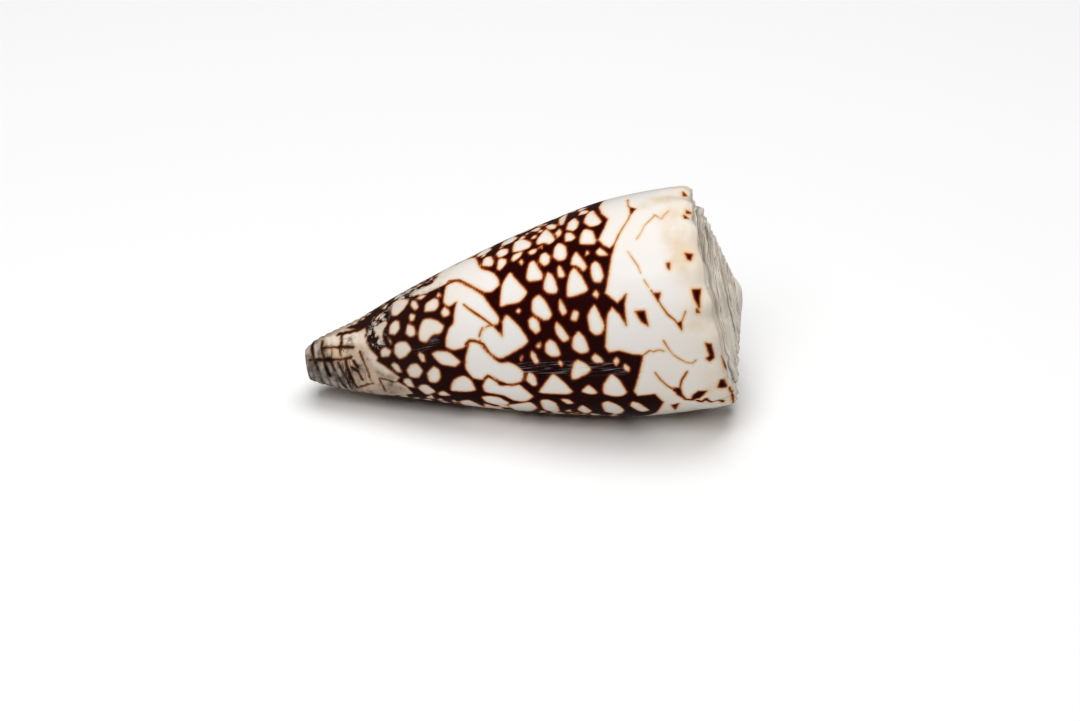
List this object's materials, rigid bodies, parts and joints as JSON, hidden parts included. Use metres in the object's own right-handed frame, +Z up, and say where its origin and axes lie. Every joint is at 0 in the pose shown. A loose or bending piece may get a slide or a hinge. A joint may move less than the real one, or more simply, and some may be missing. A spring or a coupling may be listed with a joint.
{
  "type": "cone shell",
  "caption": "Marbled cone shell: a coiled sea-snail shell with a low worn spire, a knobbed shoulder and a narrow aperture, lying on its lip",
  "frame": {"origin": "centre of the bounding box in X and Y, on the surface the shell lies on", "axes": "+X along the shell from the siphonal end to the spire, +Z up; the shell lies on its lip and underside, and its back faces -Y and up"},
  "size_m": [0.0744, 0.0398, 0.0378],
  "materials": {
    "polished_shell": "glossy cream shell with a dark brown net of tent marks, weathered on the spire and at the siphonal end"
  },
  "bodies": {
    "root": {"shell": "polished_shell"}
  },
  "joints": []
}
